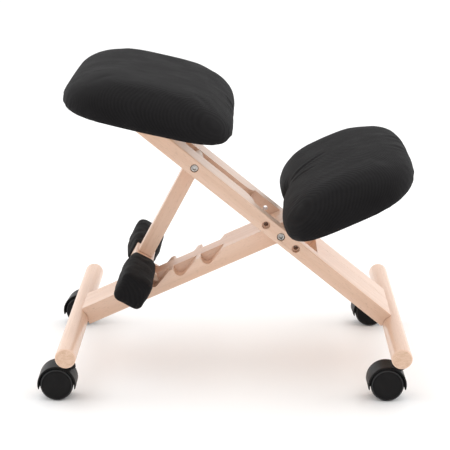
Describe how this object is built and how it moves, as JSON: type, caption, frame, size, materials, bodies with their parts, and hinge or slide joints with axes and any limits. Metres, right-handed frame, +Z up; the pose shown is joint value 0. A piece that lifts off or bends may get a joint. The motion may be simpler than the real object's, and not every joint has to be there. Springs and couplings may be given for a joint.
{
  "type": "kneeling chair",
  "caption": "Kneeling chair with a scissor frame of light beech, tilted seat and knee cushions in black fabric, a notched height adjustment and twin-wheel casters.",
  "frame": {"origin": "centre of the bounding box on the floor plane, under the crossed beams", "axes": "+X towards the front, the way the user faces; +Y to the user's left, along the crossbars; +Z up"},
  "size_m": [0.5427, 0.424, 0.4602],
  "materials": {
    "beech": "satin clear lacquer",
    "plywood": "raw",
    "black_fabric": "matt ribbed knit",
    "black_plastic": "fine grain",
    "nylon": "smooth",
    "steel": "zinc plated"
  },
  "bodies": {
    "seat_frame": {"seat_rail_left": "beech", "seat_rail_right": "beech", "seat_rail_core_upper": "beech", "seat_rail_core_lower": "beech", "front_crossbar": "beech", "front_crossbar_screw_left": "steel", "front_crossbar_screw_right": "steel", "front_left_stem_socket": "black_plastic", "front_right_stem_socket": "black_plastic", "seat_board": "plywood", "seat_board_screw_left": "steel", "seat_board_screw_right": "steel", "seat_cushion": "black_fabric", "pivot_bolt": "steel", "pivot_nut": "steel", "pivot_washer_left": "nylon", "pivot_washer_right": "nylon", "strut_bolt": "steel", "strut_nut": "steel"},
    "knee_frame": {"knee_cheek_left": "beech", "knee_cheek_right": "beech", "knee_rib": "beech", "rear_crossbar": "beech", "rear_crossbar_screw_left": "steel", "rear_crossbar_screw_right": "steel", "rear_left_stem_socket": "black_plastic", "rear_right_stem_socket": "black_plastic", "knee_board": "plywood", "knee_board_screw_left": "steel", "knee_board_screw_right": "steel", "knee_cushion": "black_fabric"},
    "strut_frame": {"strut": "beech", "foot_bar": "beech", "foot_bar_screw": "steel", "foot_bar_tooth_left": "beech", "foot_bar_tooth_right": "beech", "foot_pad_left": "black_fabric", "foot_pad_right": "black_fabric"},
    "front_right_caster": {"front_right_caster_hood": "black_plastic", "front_right_caster_stem": "steel", "front_right_caster_axle": "steel"},
    "front_right_wheel_inner": {"front_right_caster_wheel_inner": "black_plastic"},
    "front_right_wheel_outer": {"front_right_caster_wheel_outer": "black_plastic"},
    "front_left_caster": {"front_left_caster_hood": "black_plastic", "front_left_caster_stem": "steel", "front_left_caster_axle": "steel"},
    "front_left_wheel_inner": {"front_left_caster_wheel_inner": "black_plastic"},
    "front_left_wheel_outer": {"front_left_caster_wheel_outer": "black_plastic"},
    "rear_right_caster": {"rear_right_caster_hood": "black_plastic", "rear_right_caster_stem": "steel", "rear_right_caster_axle": "steel"},
    "rear_right_wheel_inner": {"rear_right_caster_wheel_inner": "black_plastic"},
    "rear_right_wheel_outer": {"rear_right_caster_wheel_outer": "black_plastic"},
    "rear_left_caster": {"rear_left_caster_hood": "black_plastic", "rear_left_caster_stem": "steel", "rear_left_caster_axle": "steel"},
    "rear_left_wheel_inner": {"rear_left_caster_wheel_inner": "black_plastic"},
    "rear_left_wheel_outer": {"rear_left_caster_wheel_outer": "black_plastic"}
  },
  "joints": [
    {"name": "frame_fold", "type": "hinge", "parent": "seat_frame", "child": "knee_frame", "pos_m": [0.0799, 0, 0.21], "axis": [0, -1, 0], "range_deg": [0, 21]},
    {"name": "strut_swing", "type": "hinge", "parent": "seat_frame", "child": "strut_frame", "pos_m": [-0.04655, 0, 0.31349], "axis": [0, 1, 0], "range_deg": [0, 50]},
    {"name": "front_right_swivel", "type": "hinge", "parent": "seat_frame", "child": "front_right_caster", "pos_m": [0.24728, -0.1645, 0.05], "axis": [0, 0, 1], "continuous": true},
    {"name": "front_right_wheel_inner_spin", "type": "hinge", "parent": "front_right_caster", "child": "front_right_wheel_inner", "pos_m": [0.22998, -0.1648, 0.0237], "axis": [-0.0175, 0.9998, 0], "continuous": true},
    {"name": "front_right_wheel_outer_spin", "type": "hinge", "parent": "front_right_caster", "child": "front_right_wheel_outer", "pos_m": [0.22998, -0.1648, 0.0237], "axis": [-0.0175, 0.9998, 0], "continuous": true},
    {"name": "front_left_swivel", "type": "hinge", "parent": "seat_frame", "child": "front_left_caster", "pos_m": [0.24728, 0.1645, 0.05], "axis": [0, 0, 1], "continuous": true},
    {"name": "front_left_wheel_inner_spin", "type": "hinge", "parent": "front_left_caster", "child": "front_left_wheel_inner", "pos_m": [0.23001, 0.16359, 0.0237], "axis": [-0.0523, 0.9986, 0], "continuous": true},
    {"name": "front_left_wheel_outer_spin", "type": "hinge", "parent": "front_left_caster", "child": "front_left_wheel_outer", "pos_m": [0.23001, 0.16359, 0.0237], "axis": [-0.0523, 0.9986, 0], "continuous": true},
    {"name": "rear_right_swivel", "type": "hinge", "parent": "knee_frame", "child": "rear_right_caster", "pos_m": [-0.22494, -0.1645, 0.05], "axis": [0, 0, 1], "continuous": true},
    {"name": "rear_right_wheel_inner_spin", "type": "hinge", "parent": "rear_right_caster", "child": "rear_right_wheel_inner", "pos_m": [-0.24224, -0.1648, 0.0237], "axis": [-0.0175, 0.9998, 0], "continuous": true},
    {"name": "rear_right_wheel_outer_spin", "type": "hinge", "parent": "rear_right_caster", "child": "rear_right_wheel_outer", "pos_m": [-0.24224, -0.1648, 0.0237], "axis": [-0.0175, 0.9998, 0], "continuous": true},
    {"name": "rear_left_swivel", "type": "hinge", "parent": "knee_frame", "child": "rear_left_caster", "pos_m": [-0.22494, 0.1645, 0.05], "axis": [0, 0, 1], "continuous": true},
    {"name": "rear_left_wheel_inner_spin", "type": "hinge", "parent": "rear_left_caster", "child": "rear_left_wheel_inner", "pos_m": [-0.24217, 0.16601, 0.0237], "axis": [0.0872, 0.9962, 0], "continuous": true},
    {"name": "rear_left_wheel_outer_spin", "type": "hinge", "parent": "rear_left_caster", "child": "rear_left_wheel_outer", "pos_m": [-0.24217, 0.16601, 0.0237], "axis": [0.0872, 0.9962, 0], "continuous": true}
  ]
}
